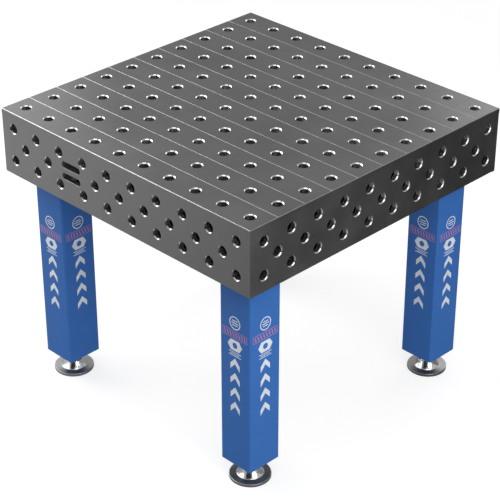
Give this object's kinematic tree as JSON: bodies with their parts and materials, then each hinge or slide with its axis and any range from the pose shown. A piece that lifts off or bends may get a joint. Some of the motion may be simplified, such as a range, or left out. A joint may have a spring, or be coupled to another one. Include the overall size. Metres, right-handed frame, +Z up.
{
  "type": "welding table",
  "caption": "Perforated steel welding table: a grid of clamping holes in the top and sides of a box, on square tube legs with levelling feet.",
  "frame": {"origin": "on the floor, under the middle of the table", "axes": "+Z up; -Y towards the front, the side with the two slots; +X to the right seen from the front"},
  "size_m": [1, 1, 0.882],
  "materials": {
    "plate_steel": "ground and nitrided grey steel with bright hole chamfers",
    "rib_steel": "plain rolled steel",
    "leg_paint": "satin blue powder coat",
    "bolt_zinc": "zinc plated",
    "spindle_zinc": "zinc plated thread",
    "foot_steel": "turned steel"
  },
  "bodies": {
    "root": {"top_plate": "plate_steel", "side_panel_front": "plate_steel", "side_panel_right": "plate_steel", "side_panel_back": "plate_steel", "side_panel_left": "plate_steel", "rib_long_front": "rib_steel", "rib_long_back": "rib_steel", "rib_cross_right": "rib_steel", "rib_cross_left": "rib_steel", "leg_mount_front_left": "rib_steel", "leg_flange_front_left": "leg_paint", "leg_tube_front_left": "leg_paint", "leg_base_front_left": "leg_paint", "flange_bolt_front_left_1": "bolt_zinc", "flange_bolt_front_left_2": "bolt_zinc", "flange_bolt_front_left_3": "bolt_zinc", "flange_bolt_front_left_4": "bolt_zinc", "leg_mount_front_right": "rib_steel", "leg_flange_front_right": "leg_paint", "leg_tube_front_right": "leg_paint", "leg_base_front_right": "leg_paint", "flange_bolt_front_right_1": "bolt_zinc", "flange_bolt_front_right_2": "bolt_zinc", "flange_bolt_front_right_3": "bolt_zinc", "flange_bolt_front_right_4": "bolt_zinc", "leg_mount_back_right": "rib_steel", "leg_flange_back_right": "leg_paint", "leg_tube_back_right": "leg_paint", "leg_base_back_right": "leg_paint", "flange_bolt_back_right_1": "bolt_zinc", "flange_bolt_back_right_2": "bolt_zinc", "flange_bolt_back_right_3": "bolt_zinc", "flange_bolt_back_right_4": "bolt_zinc", "leg_mount_back_left": "rib_steel", "leg_flange_back_left": "leg_paint", "leg_tube_back_left": "leg_paint", "leg_base_back_left": "leg_paint", "flange_bolt_back_left_1": "bolt_zinc", "flange_bolt_back_left_2": "bolt_zinc", "flange_bolt_back_left_3": "bolt_zinc", "flange_bolt_back_left_4": "bolt_zinc"},
    "foot_front_left_level": {"foot_washer_front_left": "foot_steel"},
    "foot_front_left_spindle": {"foot_spindle_front_left": "spindle_zinc", "foot_ring_front_left": "bolt_zinc"},
    "foot_front_left_pad": {"foot_pad_front_left": "foot_steel"},
    "foot_front_right_level": {"foot_washer_front_right": "foot_steel"},
    "foot_front_right_spindle": {"foot_spindle_front_right": "spindle_zinc", "foot_ring_front_right": "bolt_zinc"},
    "foot_front_right_pad": {"foot_pad_front_right": "foot_steel"},
    "foot_back_right_level": {"foot_washer_back_right": "foot_steel"},
    "foot_back_right_spindle": {"foot_spindle_back_right": "spindle_zinc", "foot_ring_back_right": "bolt_zinc"},
    "foot_back_right_pad": {"foot_pad_back_right": "foot_steel"},
    "foot_back_left_level": {"foot_washer_back_left": "foot_steel"},
    "foot_back_left_spindle": {"foot_spindle_back_left": "spindle_zinc", "foot_ring_back_left": "bolt_zinc"},
    "foot_back_left_pad": {"foot_pad_back_left": "foot_steel"}
  },
  "joints": [
    {"name": "foot_front_left_height", "type": "slide", "parent": "root", "child": "foot_front_left_level", "axis": [0, 0, -1], "range_m": [-0.012, 0.042]},
    {"name": "foot_front_left_turn", "type": "hinge", "parent": "foot_front_left_level", "child": "foot_front_left_spindle", "pos_m": [-0.385, -0.385, 0.1], "axis": [0, 0, -1], "range_deg": [-1440, 5040]},
    {"name": "foot_front_left_tilt", "type": "hinge", "parent": "foot_front_left_level", "child": "foot_front_left_pad", "pos_m": [-0.385, -0.385, 0.044], "axis": [1, 0, 0], "range_deg": [-5, 5]},
    {"name": "foot_front_right_height", "type": "slide", "parent": "root", "child": "foot_front_right_level", "axis": [0, 0, -1], "range_m": [-0.012, 0.042]},
    {"name": "foot_front_right_turn", "type": "hinge", "parent": "foot_front_right_level", "child": "foot_front_right_spindle", "pos_m": [0.385, -0.385, 0.1], "axis": [0, 0, -1], "range_deg": [-1440, 5040]},
    {"name": "foot_front_right_tilt", "type": "hinge", "parent": "foot_front_right_level", "child": "foot_front_right_pad", "pos_m": [0.385, -0.385, 0.044], "axis": [1, 0, 0], "range_deg": [-5, 5]},
    {"name": "foot_back_right_height", "type": "slide", "parent": "root", "child": "foot_back_right_level", "axis": [0, 0, -1], "range_m": [-0.012, 0.042]},
    {"name": "foot_back_right_turn", "type": "hinge", "parent": "foot_back_right_level", "child": "foot_back_right_spindle", "pos_m": [0.385, 0.385, 0.1], "axis": [0, 0, -1], "range_deg": [-1440, 5040]},
    {"name": "foot_back_right_tilt", "type": "hinge", "parent": "foot_back_right_level", "child": "foot_back_right_pad", "pos_m": [0.385, 0.385, 0.044], "axis": [1, 0, 0], "range_deg": [-5, 5]},
    {"name": "foot_back_left_height", "type": "slide", "parent": "root", "child": "foot_back_left_level", "axis": [0, 0, -1], "range_m": [-0.012, 0.042]},
    {"name": "foot_back_left_turn", "type": "hinge", "parent": "foot_back_left_level", "child": "foot_back_left_spindle", "pos_m": [-0.385, 0.385, 0.1], "axis": [0, 0, -1], "range_deg": [-1440, 5040]},
    {"name": "foot_back_left_tilt", "type": "hinge", "parent": "foot_back_left_level", "child": "foot_back_left_pad", "pos_m": [-0.385, 0.385, 0.044], "axis": [1, 0, 0], "range_deg": [-5, 5]}
  ],
  "couplings": [
    {"joint": "foot_front_left_turn", "follows": "foot_front_left_height", "rad_per_m": 2094.4},
    {"joint": "foot_front_right_turn", "follows": "foot_front_right_height", "rad_per_m": 2094.4},
    {"joint": "foot_back_right_turn", "follows": "foot_back_right_height", "rad_per_m": 2094.4},
    {"joint": "foot_back_left_turn", "follows": "foot_back_left_height", "rad_per_m": 2094.4}
  ]
}
